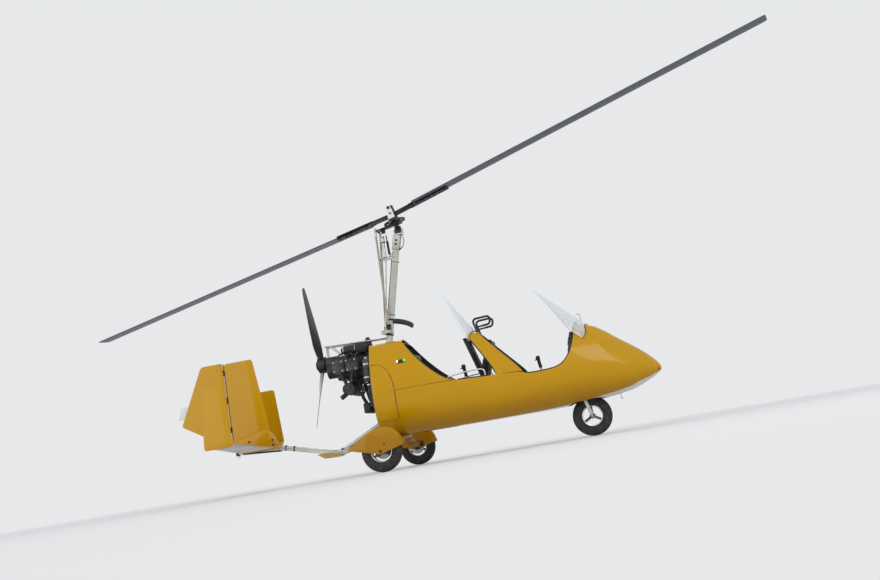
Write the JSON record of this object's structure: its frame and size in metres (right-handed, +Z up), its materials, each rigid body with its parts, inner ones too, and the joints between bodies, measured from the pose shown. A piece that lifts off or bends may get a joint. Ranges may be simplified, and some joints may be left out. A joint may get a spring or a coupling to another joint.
{
  "type": "gyrocopter",
  "caption": "Open tandem gyrocopter: hollow body with windshields, mast and teetering rotor, pusher propeller, keel tube with tail surfaces, bow gear with fenders, steered nose wheel.",
  "frame": {"origin": "on the floor, under the middle of the rotor's span", "axes": "+X to the nose, +Y to port, +Z up; the aircraft stands on its three wheels"},
  "size_m": [8.0489, 2.3142, 3.521],
  "materials": {
    "body_paint": "gloss",
    "tail_paint": "gloss",
    "panel_black": "satin",
    "seat_cover": "matte",
    "clear_sheet": "gloss",
    "frame_steel": "satin",
    "dark_steel": "satin",
    "engine_alloy": "satin",
    "exhaust_steel": "satin",
    "alloy": "satin",
    "blade_alloy": "satin",
    "prop_composite": "satin",
    "tyre_rubber": "matte",
    "nav_lens": "gloss"
  },
  "bodies": {
    "airframe": {"fuselage_tub": "body_paint", "mid_deck": "body_paint", "rear_cowl": "body_paint", "side_panels": "body_paint", "bulkhead": "panel_black", "belly_tunnel": "panel_black", "wheel_well": "panel_black", "gear_bow": "body_paint", "stub_axles": "dark_steel", "fenders": "body_paint", "keel_tube": "frame_steel", "mast": "frame_steel", "mast_fittings": "frame_steel", "prerotator_shaft": "alloy", "trim_cylinder": "dark_steel", "push_rods": "alloy", "engine_case": "engine_alloy", "gearbox": "engine_alloy", "cylinders": "engine_alloy", "intake": "panel_black", "exhaust": "exhaust_steel", "radiator": "engine_alloy", "oil_tank": "alloy", "engine_mount": "frame_steel", "front_seat": "seat_cover", "rear_seat": "seat_cover", "headrest": "panel_black", "instrument_panel": "panel_black", "windshields": "clear_sheet", "grab_hoops": "dark_steel", "nav_lights": "nav_lens", "tailplane": "tail_paint", "end_plates": "tail_paint", "fin": "tail_paint", "keel_fins": "tail_paint"},
    "nose_fork": {"nose_fork": "frame_steel"},
    "nose_wheel": {"tyre_nose": "tyre_rubber", "rim_nose": "alloy"},
    "wheel_left": {"tyre_left": "tyre_rubber", "rim_left": "alloy"},
    "wheel_right": {"tyre_right": "tyre_rubber", "rim_right": "alloy"},
    "gimbal": {"gimbal_block": "dark_steel"},
    "rotor_head": {"head_bridge": "dark_steel"},
    "rotor_hub": {"rotor_tower": "alloy"},
    "rotor": {"hub_bar": "dark_steel", "rotor_blades": "blade_alloy"},
    "propeller": {"prop_hub": "dark_steel", "prop_blades": "prop_composite"},
    "rudder": {"rudder": "tail_paint", "rudder_tab": "alloy"}
  },
  "joints": [
    {"name": "rudder_turn", "type": "hinge", "parent": "airframe", "child": "rudder", "pos_m": [-2.11, 0, 1], "axis": [0, 0, 1], "range_deg": [-25, 25]},
    {"name": "nose_steer", "type": "hinge", "parent": "airframe", "child": "nose_fork", "pos_m": [1.72, 0, 0.2], "axis": [-0.2487, 0, 0.9686], "range_deg": [-25, 25]},
    {"name": "nose_spin", "type": "hinge", "parent": "nose_fork", "child": "nose_wheel", "pos_m": [1.72, 0, 0.2], "axis": [0, 1, 0], "continuous": true},
    {"name": "left_spin", "type": "hinge", "parent": "airframe", "child": "wheel_left", "pos_m": [-0.28, 0.86, 0.2], "axis": [0, 1, 0], "continuous": true},
    {"name": "right_spin", "type": "hinge", "parent": "airframe", "child": "wheel_right", "pos_m": [-0.28, -0.86, 0.2], "axis": [0, 1, 0], "continuous": true},
    {"name": "head_roll", "type": "hinge", "parent": "airframe", "child": "gimbal", "pos_m": [0.062, 0, 2.474], "axis": [1, 0, 0], "range_deg": [-8, 8]},
    {"name": "head_pitch", "type": "hinge", "parent": "gimbal", "child": "rotor_head", "pos_m": [0.062, 0, 2.504], "axis": [0, 1, 0], "range_deg": [-8, 8]},
    {"name": "rotor_spin", "type": "hinge", "parent": "rotor_head", "child": "rotor_hub", "pos_m": [0.02545, 0, 2.656], "axis": [-0.1736, 0, 0.9848], "continuous": true},
    {"name": "rotor_teeter", "type": "hinge", "parent": "rotor_hub", "child": "rotor", "pos_m": [0.01069, 0, 2.73971], "axis": [0.2382, 0.9703, 0.042], "range_deg": [-6, 6]},
    {"name": "propeller_spin", "type": "hinge", "parent": "airframe", "child": "propeller", "pos_m": [-0.98, 0, 1.205], "axis": [-1, 0, 0], "continuous": true}
  ],
  "couplings": [
    {"joint": "nose_steer", "follows": "rudder_turn", "ratio": -1}
  ]
}
